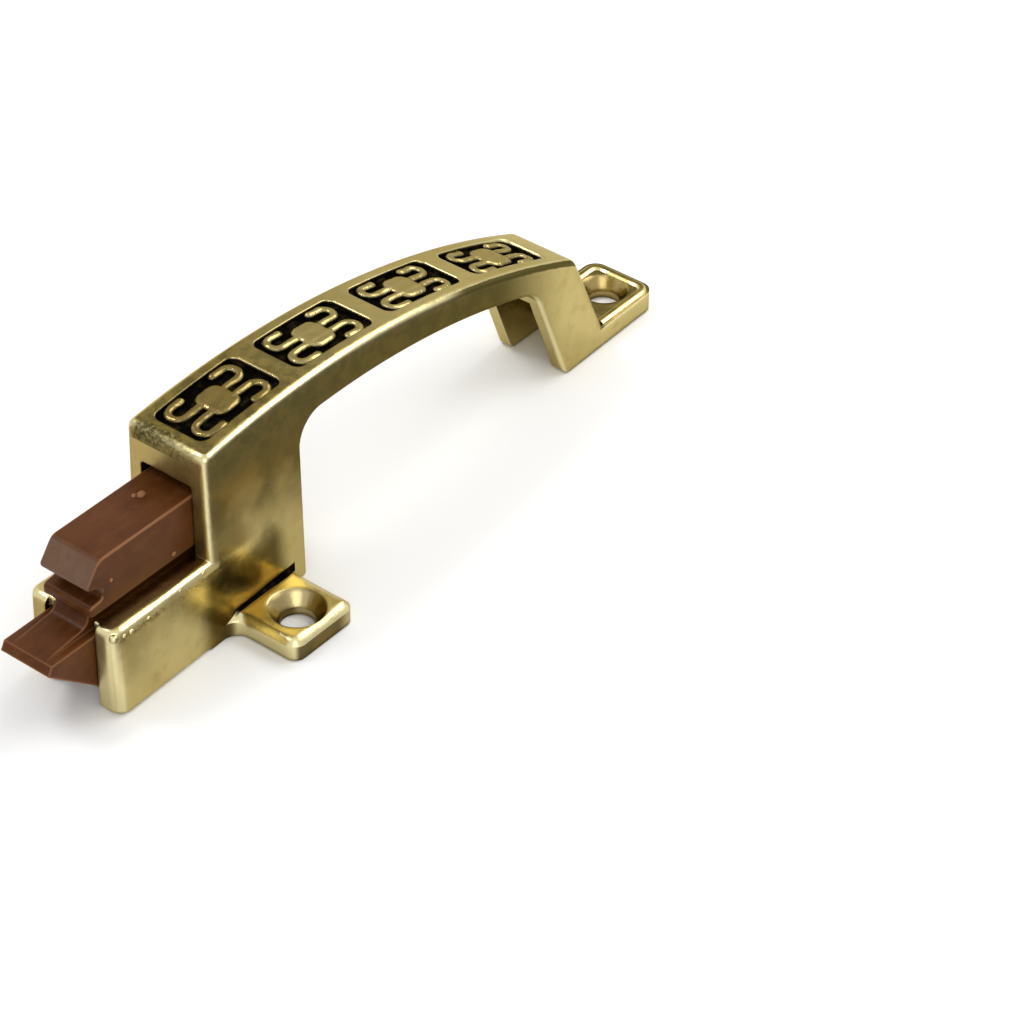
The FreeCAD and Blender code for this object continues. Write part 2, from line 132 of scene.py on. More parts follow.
# Camera: where it stands and how it looks, as in the photo
CAMERA_PLACE = Vector((-0.29552, -0.25761, 0.30758))
CAMERA_AZIMUTH = -50.867
CAMERA_ELEVATION = 38.359
CAMERA_ROLL = 0.210
CAMERA_LENS = 123.99
CAMERA_SHIFT = (0.0646, -0.0040)


class Tree:
    """A material's nodes, made and joined by short calls."""

    def __init__(self, name):
        self.material = bpy.data.materials.new(name)
        self.material.use_nodes = True
        self.tree = self.material.node_tree
        self.tree.nodes.clear()
        self.output = self.tree.nodes.new("ShaderNodeOutputMaterial")

    def node(self, kind, values=None, **settings):
        made = self.tree.nodes.new("ShaderNode" + kind)
        for name, value in settings.items():
            setattr(made, name, value)
        for name, value in (values or {}).items():
            self.put(made.inputs[name], value)
        return made

    def put(self, socket, value):
        if isinstance(value, bpy.types.NodeSocket):
            self.tree.links.new(value, socket)
        else:
            socket.default_value = value

    def math(self, operation, a, b=0.0, clamp=False):
        made = self.tree.nodes.new("ShaderNodeMath")
        made.operation = operation
        made.use_clamp = clamp
        self.put(made.inputs[0], a)
        self.put(made.inputs[1], b)
        return made.outputs[0]

    def step(self, value, low, high):
        """0 below low, 1 above high, smooth between."""
        made = self.node("MapRange", {"Value": value, "From Min": low, "From Max": high})
        made.interpolation_type = "SMOOTHSTEP"
        return made.outputs["Result"]

    def noise(self, where, scale, detail=3.0, roughness=0.5, distortion=0.0):
        values = {"Vector": where, "Scale": scale, "Detail": detail}
        values.update({"Roughness": roughness, "Distortion": distortion})
        return self.node("TexNoise", values).outputs["Fac"]

    def mix(self, factor, a, b):
        made = self.node("Mix", data_type="RGBA")
        self.put(made.inputs["Factor"], factor)
        self.put(made.inputs["A"], a)
        self.put(made.inputs["B"], b)
        return made.outputs["Result"]

    def between(self, factor, a, b):
        made = self.node("Mix", data_type="FLOAT")
        self.put(made.inputs["Factor"], factor)
        self.put(made.inputs["A"], a)
        self.put(made.inputs["B"], b)
        return made.outputs["Result"]

    def bump(self, height, distance, strength=1.0, normal=None):
        made = self.node("Bump", {"Height": height, "Distance": distance, "Strength": strength})
        if normal is not None:
            self.put(made.inputs["Normal"], normal)
        return made.outputs["Normal"]

    def finish(self, shader):
        self.tree.links.new(shader, self.output.inputs["Surface"])
        return self.material


def rgb(red, green, blue):
    """A colour given as it looks on screen, 0 to 255, as the shader wants it."""
    channels = []
    for value in (red, green, blue):
        share = value / 255.0
        channels.append(share / 12.92 if share <= 0.04045 else ((share + 0.055) / 1.055) ** 2.4)
    return (*channels, 1.0)


def place_of(tree):
    """The point's place in the row frame, whole and as X, Y and Z."""
    place = tree.node("TexCoord").outputs["Object"]
    parts = tree.node("SeparateXYZ", {"Vector": place}).outputs
    return place, parts["X"], parts["Y"], parts["Z"]


def edge_mask(tree, radius, low, high):
    """1 on the edges of a piece, 0 on its flats."""
    soft = tree.node("Bevel", {"Radius": radius}, samples=6).outputs["Normal"]
    true = tree.node("NewGeometry").outputs["Normal"]
    dot = tree.node("VectorMath", {0: soft, 1: true}, operation="DOT_PRODUCT").outputs["Value"]
    return tree.step(tree.math("SUBTRACT", 1.0, dot), low, high)


def depth_under_arch(tree, x, z):
    """How far a point lies under the arched top of the grip."""
    across = tree.math("SUBTRACT", x, ARCH_X)
    up = tree.math("SUBTRACT", z, ARCH_TOP - ARCH_RADIUS)
    square = tree.math("ADD", tree.math("MULTIPLY", across, across), tree.math("MULTIPLY", up, up))
    return tree.math("SUBTRACT", ARCH_RADIUS, tree.math("SQRT", square))


def band(tree, value, middle, half, soft):
    """1 within half of the middle, 0 further out than half and soft."""
    away = tree.math("ABSOLUTE", tree.math("SUBTRACT", value, middle))
    return tree.math("SUBTRACT", 1.0, tree.step(away, half, half + soft))


def all_of(tree, *masks):
    product = masks[0]
    for mask in masks[1:]:
        product = tree.math("MULTIPLY", product, mask)
    return product


def any_of(tree, *masks):
    most = masks[0]
    for mask in masks[1:]:
        most = tree.math("MAXIMUM", most, mask)
    return most


def panel_patina(tree, depth, x, y, uneven):
    """1 where black patina is left in the sunk panels."""
    sunk = tree.step(tree.math("ADD", depth, uneven), 0.16 * MM, 0.48 * MM)
    inside = tree.math("LESS_THAN", tree.math("ABSOLUTE", y), 5.0 * MM)
    behind_front = tree.math("GREATER_THAN", x, HOUSING_FRONT_X + 1.8 * MM)
    before_shoulder = tree.math("LESS_THAN", x, PANELS_END_X)
    shallow = tree.math("LESS_THAN", depth, PANEL_DEPTH + 0.3 * MM)
    return all_of(tree, sunk, inside, behind_front, before_shoulder, shallow)


def near_hole(tree, x, y, hole):
    """1 inside the countersink of a screw hole, on either side of the middle."""
    along = tree.math("SUBTRACT", x, hole[0])
    across = tree.math("SUBTRACT", tree.math("ABSOLUTE", y), hole[1])
    square = tree.math("ADD", tree.math("MULTIPLY", along, along), tree.math("MULTIPLY", across, across))
    return tree.math("LESS_THAN", tree.math("SQRT", square), COUNTERSINK_RADIUS)


def corner_patina(tree, x, y, z, uneven):
    """1 along the dark line left in the corner between the ears and the box."""
    along = tree.math("SUBTRACT", x, HOUSING_FRONT_X)
    root_y = tree.math("SUBTRACT", EAR_ROOT_Y, tree.math("MULTIPLY", along, EAR_ROOT_SLOPE))
    from_root = tree.math("ABSOLUTE", tree.math("SUBTRACT", tree.math("ABSOLUTE", y), root_y))
    from_top = tree.math("ABSOLUTE", tree.math("SUBTRACT", z, EAR_TOP))
    away = tree.math("ADD", tree.math("MAXIMUM", from_root, from_top), uneven)
    swell = tree.between(tree.step(x, EAR_START_X, EAR_END_X), 0.24 * MM, 0.62 * MM)
    line = tree.math("SUBTRACT", 1.0, tree.step(tree.math("SUBTRACT", away, swell), 0.0, 0.3 * MM))
    started = tree.step(x, EAR_START_X, EAR_START_X + 2.0 * MM)
    return all_of(tree, line, started, tree.math("LESS_THAN", x, EAR_END_X))


def side_painted_reflection(tree, depth, x, z, cloudy, blotchy):
    """How much painted dark reflection and shade the sides get: under the arched edge, by the front, and over the ears.
    """
    wander = tree.math("MULTIPLY", tree.math("SUBTRACT", blotchy, 0.5), 11.0 * MM)
    under_edge = tree.math("SUBTRACT", 1.0, tree.step(tree.math("ADD", depth, wander), 8.0 * MM, 26.0 * MM))
    by_front = band(tree, tree.math("ADD", x, wander), HOUSING_FRONT_X + 2.0 * MM, 4.0 * MM, 8.0 * MM)
    by_front = all_of(tree, by_front, tree.step(z, 12.0 * MM, 14.0 * MM), 0.85)
    over_ear = band(tree, x, HOUSING_FRONT_X + 6.0 * MM, 6.0 * MM, 4.0 * MM)
    low = tree.math("SUBTRACT", 1.0, tree.step(tree.math("ADD", z, wander), 8.0 * MM, 17.0 * MM))
    over_ear = all_of(tree, over_ear, low)
    on_grip = tree.math("SUBTRACT", 1.0, tree.step(x, 24.0 * MM, 44.0 * MM))
    strength = all_of(tree, any_of(tree, under_edge, by_front, over_ear), on_grip)
    return tree.math("MULTIPLY", strength, tree.between(cloudy, 0.85, 1.0))


def antique_brass(name, in_relief):
    """Gold worn paler by rubbing over dark patina, with painted dark reflections, painted shade and painted highlights;
    in relief the gold is deeper, and the surface is beaded.
    """
    tree = Tree(name)
    place, x, y, z = place_of(tree)
    cloudy = tree.noise(place, 55.0, 4.0, 0.55)
    blotchy = tree.noise(place, 150.0, 3.0, 0.5)
    mottled = tree.noise(place, 420.0, 5.0, 0.65)
    speckled = tree.noise(place, 1700.0, 4.0, 0.7)
    fine = tree.noise(place, 2400.0, 3.0, 0.6)
    depth = depth_under_arch(tree, x, z)
    facing = tree.node("SeparateXYZ", {"Vector": tree.node("NewGeometry").outputs["Normal"]}).outputs
    uneven = tree.math("MULTIPLY", tree.math("SUBTRACT", mottled, 0.5), 0.5 * MM)

    panel = panel_patina(tree, depth, x, y, uneven)
    corner = corner_patina(tree, x, y, z, uneven)
    # Painted dark reflections and shade on the faces turned sideways, standing for dark things and shadow mirrored in
    # the polished sides
    side = tree.step(tree.math("ABSOLUTE", facing["Y"]), 0.6, 0.9)
    side_dark_reflection = tree.math("MULTIPLY", side, side_painted_reflection(tree, depth, x, z, cloudy, blotchy))

    # Dirty, pitted rounding over the mouth, and dark specks along a line under the rounding of the cheeks
    front_band = band(tree, tree.math("ADD", x, uneven), HOUSING_FRONT_X + 0.75 * MM, 0.6 * MM, 0.6 * MM)
    high = tree.math("GREATER_THAN", z, ARCH_TOP - 3.6 * MM)
    dirty = all_of(tree, front_band, high, band(tree, y, 0.4 * MM, 4.6 * MM, 1.6 * MM))
    dirty = tree.math("MULTIPLY", dirty, tree.between(tree.step(y, -5.0 * MM, 3.0 * MM), 0.45, 1.0))
    cheek_line = band(tree, z, 12.5 * MM, 0.2 * MM, 0.5 * MM)
    outer = tree.math("GREATER_THAN", tree.math("ABSOLUTE", y), 6.8 * MM)
    on_cheek = tree.math("LESS_THAN", x, HOUSING_FRONT_X - 1.5 * MM)
    cheek_line = all_of(tree, cheek_line, outer, on_cheek)
    dark_specks = tree.step(speckled, 0.48, 0.56)
    pale_specks = tree.math("SUBTRACT", 1.0, tree.step(speckled, 0.36, 0.43))
    cheek_line = tree.math("MULTIPLY", cheek_line, tree.step(blotchy, 0.4, 0.55))
    specks = all_of(tree, dark_specks, any_of(tree, tree.math("MULTIPLY", dirty, 0.8), tree.math("MULTIPLY", cheek_line, 0.55)))

    # Ears and tab have softer edges than the rest
    upward = tree.step(facing["Z"], 0.93, 0.985)
    on_tab = all_of(tree, tree.math("GREATER_THAN", x, 45.0 * MM), tree.math("LESS_THAN", z, 6.0 * MM))
    on_ear = tree.math("GREATER_THAN", tree.math("ABSOLUTE", y), 8.7 * MM)
    far_shoulder = all_of(tree, tree.step(x, 34.0 * MM, 42.0 * MM), tree.step(z, 18.0 * MM, 22.0 * MM))
    softness = tree.between(tree.step(x, 40.0 * MM, 46.0 * MM), 0.45 * MM, 0.9 * MM)
    softness = tree.between(far_shoulder, softness, 1.5 * MM)
    softness = tree.between(on_ear, softness, 1.1 * MM)
    softness = tree.between(on_tab, softness, 1.1 * MM)
    rounded = tree.node("Bevel", {"Radius": softness}, samples=8).outputs["Normal"]

    # Edges and roundings are painted paler than the flats, partly wear from rubbing and partly painted highlight, less
    # so in relief
    turned = tree.node("SeparateXYZ", {"Vector": rounded}).outputs
    squarest = any_of(tree, *(tree.math("ABSOLUTE", turned[axis]) for axis in "XYZ"))
    rubbed_and_highlit = tree.math("SUBTRACT", 1.0, tree.step(squarest, 0.86, 0.96))
    rubbed_and_highlit = tree.math("MULTIPLY", rubbed_and_highlit, 0.3 if in_relief else 0.8)
    in_hole = any_of(tree, near_hole(tree, x, y, EAR_HOLE), near_hole(tree, x, y, TAB_HOLE))
    in_hole = tree.math("MULTIPLY", in_hole, tree.math("LESS_THAN", z, 6.0 * MM))
    rubbed_and_highlit = tree.math("MULTIPLY", rubbed_and_highlit, tree.math("SUBTRACT", 1.0, in_hole))

    # Painted light on the forward faces: the near cheek's end is painted paler as a painted highlight, the far one and
    # the face over the mouth are painted duller as painted shade
    on_face = tree.step(tree.math("SUBTRACT", 0.0, facing["X"]), 0.8, 0.95)
    on_face = tree.math("MULTIPLY", on_face, tree.math("LESS_THAN", x, HOUSING_FRONT_X + 1.0 * MM))
    cheek_end = tree.math("MULTIPLY", on_face, tree.math("LESS_THAN", x, HOUSING_FRONT_X - 10.0 * MM))
    near_cheek = tree.math("LESS_THAN", y, 0.0)
    face_painted_highlight = all_of(tree, cheek_end, near_cheek, 0.8)
    face_painted_shade = tree.math("MULTIPLY", on_face, tree.math("SUBTRACT", 1.0, tree.math("MULTIPLY", cheek_end, near_cheek)))

    # Painted dark olive reflection along the rounding of the grip, towards the far foot
    far_round_dark_reflection = all_of(tree, band(tree, facing["Z"], 0.62, 0.2, 0.15), tree.step(x, 13.0 * MM, 19.0 * MM))
    sideways = tree.step(tree.math("ABSOLUTE", facing["Y"]), 0.3, 0.5)
    far_round_dark_reflection = all_of(tree, far_round_dark_reflection, sideways, tree.math("LESS_THAN", depth, 2.5 * MM), 0.9)
    rubbed_and_highlit = tree.math("MULTIPLY", rubbed_and_highlit, tree.math("SUBTRACT", 1.0, far_round_dark_reflection))

    # Painted darker reflection on the flat tops of the grip and the far tab, palest on the shoulder between
    on_top = tree.math("LESS_THAN", depth, 1.2 * MM)
    near = tree.math("SUBTRACT", 1.0, tree.step(x, -24.0 * MM, 20.0 * MM))
    flat = tree.math("MULTIPLY", upward, any_of(tree, tree.math("MULTIPLY", on_top, near), on_tab))
    # Painted light: the low faces of the ears are painted paler
    ear_painted_light = all_of(tree, on_ear, tree.math("LESS_THAN", z, 4.0 * MM), 0.75)

    gold = tree.mix(tree.step(cloudy, 0.35, 0.65), rgb(182, 165, 108), rgb(196, 180, 124))
    gold = tree.mix(tree.math("MULTIPLY", tree.step(mottled, 0.5, 0.75), 0.3), gold, rgb(144, 118, 62))
    # Paler gold for wear from rubbing with painted highlight, for the painted highlight on the near cheek's end, and
    # for the painted light on the ears
    gold = tree.mix(any_of(tree, rubbed_and_highlit, face_painted_highlight, ear_painted_light), gold, rgb(224, 212, 162))
    gold = tree.mix(tree.math("MULTIPLY", face_painted_shade, 0.5), gold, rgb(150, 124, 72))
    # Painted dark reflection and shade for the sides: brown, turning olive near the arched edge
    brown = tree.mix(tree.step(blotchy, 0.4, 0.6), rgb(60, 46, 16), rgb(90, 66, 24))
    olive = tree.mix(tree.step(mottled, 0.4, 0.65), rgb(32, 28, 12), rgb(64, 53, 25))
    near_edge = tree.math("SUBTRACT", 1.0, tree.step(depth, 3.0 * MM, 9.0 * MM))
    dark_reflection_tone = tree.mix(near_edge, brown, olive)
    colour = tree.mix(tree.math("MULTIPLY", side_dark_reflection, 0.95), gold, dark_reflection_tone)
    colour = tree.mix(far_round_dark_reflection, colour, rgb(72, 65, 33))
    if in_relief:
        # The relief's gold is deeper, and the first panel is painted darker still as a painted dark reflection
        first_panel_dark_reflection = tree.math("SUBTRACT", 1.0, tree.step(x, -24.0 * MM, -10.0 * MM))
        deeper = tree.mix(first_panel_dark_reflection, rgb(158, 142, 92), rgb(108, 88, 42))
        colour = tree.mix(0.8, colour, deeper)
    # Painted shade in the countersinks: their gold is painted darker brown
    colour = tree.mix(tree.math("MULTIPLY", in_hole, 0.5), colour, rgb(120, 96, 50))
    # Painted dark reflection on the flat tops, weaker in relief
    dark_top_reflection = tree.mix(tree.step(mottled, 0.4, 0.62), rgb(84, 72, 34), rgb(122, 104, 52))
    colour = tree.mix(tree.math("MULTIPLY", flat, 0.4 if in_relief else 0.9), colour, dark_top_reflection)
    colour = tree.mix(tree.math("MULTIPLY", dirty, 0.85), colour, rgb(92, 84, 48))
    colour = tree.mix(tree.math("MULTIPLY", specks, 0.85), colour, rgb(40, 37, 24))
    colour = tree.mix(all_of(tree, pale_specks, dirty, 0.4), colour, rgb(176, 166, 120))
    black = any_of(tree, panel, corner)
    crust = tree.mix(tree.step(mottled, 0.5, 0.7), rgb(9, 8, 6), rgb(46, 40, 25))
    colour = tree.mix(black, colour, crust)
    rough = tree.between(tree.step(mottled, 0.3, 0.7), 0.16, 0.26)
    rough = tree.math("ADD", rough, tree.math("MULTIPLY", on_face, 0.2))
    rough = tree.between(any_of(tree, black, tree.math("MULTIPLY", dirty, 0.7), specks), rough, 0.7)

    normal = tree.bump(cloudy, 0.9 * MM, 0.35, rounded)
    normal = tree.bump(mottled, 0.12 * MM, 0.45, normal)
    normal = tree.bump(fine, 0.02 * MM, 0.3, normal)
    normal = tree.bump(tree.math("MULTIPLY", speckled, dirty), 0.25 * MM, 0.7, normal)
    if in_relief:
        sloping = tree.math("SUBTRACT", 1.0, tree.step(facing["Z"], 0.9, 0.97))
        beads = tree.math("MULTIPLY", tree.noise(place, 950.0, 2.0, 0.5), sloping)
        normal = tree.bump(beads, 0.35 * MM, 0.5, normal)
    values = {"Base Color": colour, "Metallic": 1.0, "Roughness": rough, "Normal": normal}
    values["Specular Tint"] = (0.6, 0.55, 0.42, 1.0)
    shader = tree.node("BsdfPrincipled", values)
    return tree.finish(shader.outputs["BSDF"])


def brown_plastic(name, dark, light):
    tree = Tree(name)
    place, x, y, z = place_of(tree)
    cloudy = tree.noise(place, 120.0, 4.0, 0.6)
    streak_place = tree.node("Mapping", {"Vector": place, "Scale": (0.25, 1.0, 1.0)}).outputs["Vector"]
    streaks = tree.noise(streak_place, 900.0, 3.0, 0.5, 0.4)
    fine = tree.noise(place, 5000.0, 3.0, 0.6)
    facing = tree.node("SeparateXYZ", {"Vector": tree.node("NewGeometry").outputs["Normal"]}).outputs
    brown = tree.mix(tree.step(cloudy, 0.3, 0.7), dark, light)
    brown = tree.mix(tree.math("MULTIPLY", tree.step(streaks, 0.45, 0.8), 0.3), brown, rgb(106, 66, 36))

    # Painted shade darkens the top of the nose, low between the cheeks, and edges are painted lighter, partly wear and
    # partly painted highlight
    nose_top_painted_shade = tree.math("SUBTRACT", 1.0, tree.step(z, 10.0 * MM, 12.0 * MM))
    nose_top_painted_shade = all_of(tree, nose_top_painted_shade, tree.step(facing["Z"], 0.5, 0.8), 0.7)
    brown = tree.mix(nose_top_painted_shade, brown, rgb(40, 18, 6))
    edges = edge_mask(tree, 0.6 * MM, 0.01, 0.14)
    both_ways = tree.math("MINIMUM", tree.math("ABSOLUTE", facing["Y"]), facing["Z"])
    edges = any_of(tree, edges, tree.step(both_ways, 0.2, 0.4))
    brown = tree.mix(tree.math("MULTIPLY", edges, 0.6), brown, rgb(150, 104, 68))

    # The thumb's slanted front is painted greyer, a painted sheen that stands for the reflection of the pale floor
    slanted = tree.step(tree.math("SUBTRACT", 0.0, facing["X"]), 0.45, 0.7)
    front_painted_sheen = tree.math("MULTIPLY", slanted, tree.step(z, 17.5 * MM, 18.5 * MM))
    front_painted_sheen = tree.math("MULTIPLY", front_painted_sheen, tree.between(streaks, 0.5, 1.0))
    brown = tree.mix(front_painted_sheen, brown, rgb(108, 84, 68))
    rough = tree.between(tree.step(streaks, 0.3, 0.7), 0.3, 0.44)
    normal = tree.bump(cloudy, 0.25 * MM, 0.3)
    normal = tree.bump(fine, 0.015 * MM, 0.5, normal)
    values = {"Base Color": brown, "Roughness": rough, "Specular IOR Level": 0.1, "Normal": normal}
    shader = tree.node("BsdfPrincipled", values)
    return tree.finish(shader.outputs["BSDF"])


def steel(name, colour, grain_scale):
    tree = Tree(name)
    place, x, y, z = place_of(tree)
    stretched = tree.node("Mapping", {"Vector": place, "Scale": (0.06, 1.0, 1.0)}).outputs["Vector"]
    grain = tree.noise(stretched, grain_scale, 4.0, 0.6)
    cloudy = tree.noise(place, 150.0, 3.0, 0.5)
    tone = tree.mix(tree.math("MULTIPLY", cloudy, 0.4), colour, rgb(120, 118, 110))
    rough = tree.between(grain, 0.25, 0.45)
    normal = tree.bump(grain, 0.01 * MM, 0.5)
    shader = tree.node("BsdfPrincipled", {"Base Color": tone, "Metallic": 1.0, "Roughness": rough, "Normal": normal})
    return tree.finish(shader.outputs["BSDF"])


def dress(node, material):
    obj = frame["nodes"][node]
    obj.data.materials.clear()
    obj.data.materials.append(material)


def piece(name, mesh, material, body):
    """A new piece of the object from a bmesh, which it uses up."""
    mesh.normal_update()
    data = bpy.data.meshes.new(name)
    mesh.to_mesh(data)
    mesh.free()
    for face in data.polygons:
        face.use_smooth = True
    data.materials.append(material)
    made = bpy.data.objects.new(name, data)
    bpy.context.scene.collection.objects.link(made)
    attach(made, body)
    return made


def arch_height(x, depth):
    """Height of the point that lies so deep under the arched top at x."""
    radius = ARCH_RADIUS - depth
    return ARCH_TOP - ARCH_RADIUS + math.sqrt(radius * radius - (x - ARCH_X) ** 2)


def panel_half_width(x):
    share = (x - NEAR_END_X) / (FAR_END_X - NEAR_END_X)
    return NEAR_HALF_WIDTH + share * (FAR_HALF_WIDTH - NEAR_HALF_WIDTH) - PANEL_BORDER


def relief(x, y):
    """Small unevenness of the cast relief, from -1 to 1."""
    along = math.sin(x / (0.43 * MM) + 1.3 * math.sin(y / (0.52 * MM)))
    across = math.sin(y / (0.37 * MM) + 1.1 * math.sin(x / (0.66 * MM)))
    return (along + across) / 2


def dome_profile():
    """Shares of the half width, with the depth under the arch, from foot to foot."""
    profile = []
    for i in range(DOME_STEPS + 1):
        angle = math.pi * i / DOME_STEPS
        profile.append((math.cos(angle), DOME_FOOT - (DOME_FOOT - DOME_CREST) * math.sin(angle)))
    return profile


def scroll_path(half_width):
    """Middle line of a scroll, as (x, y, across x, across y), from the boss to its tip."""
    outer_y = half_width - SCROLL_GAP - SCROLL_BAND / 2
    middle_y = (outer_y + SCROLL_INNER_Y) / 2
    turn = (outer_y - SCROLL_INNER_Y) / 2
    path = []
    for i in range(NECK_STEPS):
        path.append((SCROLL_TURN_X * i / NECK_STEPS, SCROLL_INNER_Y, 0.0, -1.0))
    for i in range(TURN_STEPS + 1):
        angle = math.pi * (i / TURN_STEPS - 0.5)
        out = (math.cos(angle), math.sin(angle))
        path.append((SCROLL_TURN_X + turn * out[0], middle_y + turn * out[1], *out))
    for i in range(TAIL_STEPS):
        back = (SCROLL_TURN_X - SCROLL_END_X) * (i + 1) / TAIL_STEPS
        path.append((SCROLL_TURN_X - back, outer_y, 0.0, 1.0))
    return path


def dome_vert(mesh, x, y, depth, uneven=DOME_UNEVEN):
    """A vertex of the relief, whose crests rise and fall a little."""
    crest = 1.0 - depth / DOME_FOOT
    depth = depth + uneven * crest * (1.0 + relief(x, y)) / 2
    return mesh.verts.new((x, y, arch_height(x, depth)))


def add_dome_strip(mesh, path, centre_x, signs):
    """A domed band along the path, thicker at both ends, closed by a half dome at its tip."""
    rows = []
    for i, (x, y, out_x, out_y) in enumerate(path):
        from_middle = abs(2.0 * i / (len(path) - 1) - 1.0)
        swell = 1.0 + 0.14 * from_middle ** 2
        half = DOME_HALF_WIDTH * swell * (1.0 + 0.1 * relief(centre_x + signs[0] * x, signs[1] * y))
        row = []
        for share, depth in dome_profile():
            px = centre_x + signs[0] * (x + out_x * half * share)
            py = signs[1] * (y + out_y * half * share)
            row.append(dome_vert(mesh, px, py, depth))
        rows.append(row)
    for first, second in zip(rows, rows[1:]):
        for i in range(DOME_STEPS):
            mesh.faces.new((first[i], first[i + 1], second[i + 1], second[i]))
    add_tip(mesh, rows[-1], path[-1], centre_x, signs, half)


def add_tip(mesh, row, end, centre_x, signs, half):
    """Half dome round the last point of a scroll."""
    crest = row[DOME_STEPS // 2]
    half_steps = DOME_STEPS // 2
    profile = dome_profile()[:half_steps]
    last = row[:half_steps]
    for j in range(1, DOME_STEPS + 1):
        angle = math.pi / 2 + math.pi * j / DOME_STEPS
        if j == DOME_STEPS:
            ring = [row[DOME_STEPS - i] for i in range(half_steps)]
        else:
            ring = []
            for share, depth in profile:
                px = centre_x + signs[0] * (end[0] + math.cos(angle) * half * share)
                py = signs[1] * (end[1] + math.sin(angle) * half * share)
                ring.append(dome_vert(mesh, px, py, depth))
        for i in range(half_steps - 1):
            mesh.faces.new((last[i], last[i + 1], ring[i + 1], ring[i]))
        mesh.faces.new((last[-1], crest, ring[-1]))
        last = ring


def boss_outline(inset):
    """Points round the boss, drawn in by the inset."""
    radius = max(BOSS_ROUND - inset, 0.2 * MM)
    points = []
    for corner in range(4):
        turn = math.pi / 2 * corner
        sign_x = 1.0 if corner in (0, 3) else -1.0
        sign_y = 1.0 if corner in (0, 1) else -1.0
        middle_x = sign_x * (BOSS_HALF_LENGTH - inset - radius)
        middle_y = sign_y * (BOSS_HALF_WIDTH - inset - radius)
        for i in range(DOME_STEPS + 1):
            angle = turn + math.pi / 2 * i / DOME_STEPS
            points.append((middle_x + radius * math.cos(angle), middle_y + radius * math.sin(angle)))
    return points


def add_boss(mesh, centre_x):
    """A cushion over the flat boss: a rounded rim, then rings up to the middle."""
    rings = []
    for i in range(DOME_STEPS + 1):
        angle = math.pi / 2 * i / DOME_STEPS
        inset = BOSS_RIM * (1.0 - math.cos(angle)) - BOSS_GROW
        depth = DOME_FOOT - (DOME_FOOT - DOME_CREST) * math.sin(angle)
        outline = boss_outline(inset)
        rings.append([dome_vert(mesh, centre_x + x, y, depth, BOSS_UNEVEN) for x, y in outline])
    for i in range(1, NECK_STEPS):
        share = 1.0 - i / NECK_STEPS
        inner = [(centre_x + x * share, y * share) for x, y in outline]
        rings.append([dome_vert(mesh, x, y, DOME_CREST, BOSS_UNEVEN) for x, y in inner])
    middle = dome_vert(mesh, centre_x, 0.0, DOME_CREST, BOSS_UNEVEN)
    count = len(outline)
    for i in range(count):
        following = (i + 1) % count
        for first, second in zip(rings, rings[1:]):
            mesh.faces.new((first[i], first[following], second[following], second[i]))
        mesh.faces.new((rings[-1][i], rings[-1][following], middle))


def ornament_domes(material):
    """The rounded tops of the bosses and scrolls, which stand a little out of the patina."""
    for i in range(PANEL_COUNT):
        mesh = bmesh.new()
        centre_x = PANEL_FIRST_X + i * PANEL_PITCH
        path = scroll_path(panel_half_width(centre_x))
        for x_sign in (-1, 1):
            for y_sign in (-1, 1):
                add_dome_strip(mesh, path, centre_x, (x_sign, y_sign))
        add_boss(mesh, centre_x)
        bmesh.ops.recalc_face_normals(mesh, faces=mesh.faces)
        piece("ornament_domes_%d" % (i + 1), mesh, material, "handle")


def border_path():
    """Middle line of the tab's border, as (x, y, across x, across y)."""
    end_x = FAR_END_X - BORDER_INSET - BORDER_TURN
    side_y = FAR_HALF_WIDTH - BORDER_INSET - BORDER_TURN
    path = [(BORDER_START_X, -side_y - BORDER_TURN, 0.0, -1.0)]
    for side in (-1, 1):
        for i in range(TURN_STEPS + 1):
            share = i / TURN_STEPS if side > 0 else i / TURN_STEPS - 1.0
            angle = math.pi / 2 * share
            out = (math.cos(angle), math.sin(angle))
            path.append((end_x + BORDER_TURN * out[0], side * side_y + BORDER_TURN * out[1], *out))
    path.append((BORDER_START_X, side_y + BORDER_TURN, 0.0, 1.0))
    return path


def tab_border(material):
    """The low rounded border that stands round the screw hole of the far tab."""
    mesh = bmesh.new()
    rows = []
    for x, y, out_x, out_y in border_path():
        row = []
        for i in range(DOME_STEPS + 1):
            angle = math.pi * i / DOME_STEPS
            across = BORDER_HALF_WIDTH * math.cos(angle)
            up = BORDER_HEIGHT * math.sin(angle) - BORDER_SINK
            row.append(mesh.verts.new((x + out_x * across, y + out_y * across, EAR_TOP + up)))
        rows.append(row)
    for first, second in zip(rows, rows[1:]):
        for i in range(DOME_STEPS):
            mesh.faces.new((first[i], first[i + 1], second[i + 1], second[i]))
    bmesh.ops.recalc_face_normals(mesh, faces=mesh.faces)
    piece("tab_border", mesh, material, "handle")


def add_pebble(mesh, place, radii):
    """A low rounded bump, half sunk in the surface under it."""
    middle = Vector((HOUSING_FRONT_X + place[0] * MM, place[1] * MM, place[2] * MM))
    made = bmesh.ops.create_icosphere(mesh, subdivisions=3, radius=1.0)
    for vert in made["verts"]:
        wobble = 1.0 + 0.06 * math.sin(5.0 * vert.co.x + 3.0 * vert.co.y + 4.0 * vert.co.z)
        sizes = Vector(radii) * MM * wobble
        vert.co = middle + Vector(a * b for a, b in zip(vert.co, sizes))


def moulding_marks(brass, plastic):
    """Where the slide's gate was broken off, and small bumps along the edge of the casting."""
    mesh = bmesh.new()
    for place, radii in GATE_MARKS:
        add_pebble(mesh, place, radii)
    piece("gate_marks", mesh, plastic, "slide")
    mesh = bmesh.new()
    for place, radius in CASTING_NUBS:
        add_pebble(mesh, place, (radius, radius, radius))
    piece("casting_nubs", mesh, brass, "handle")


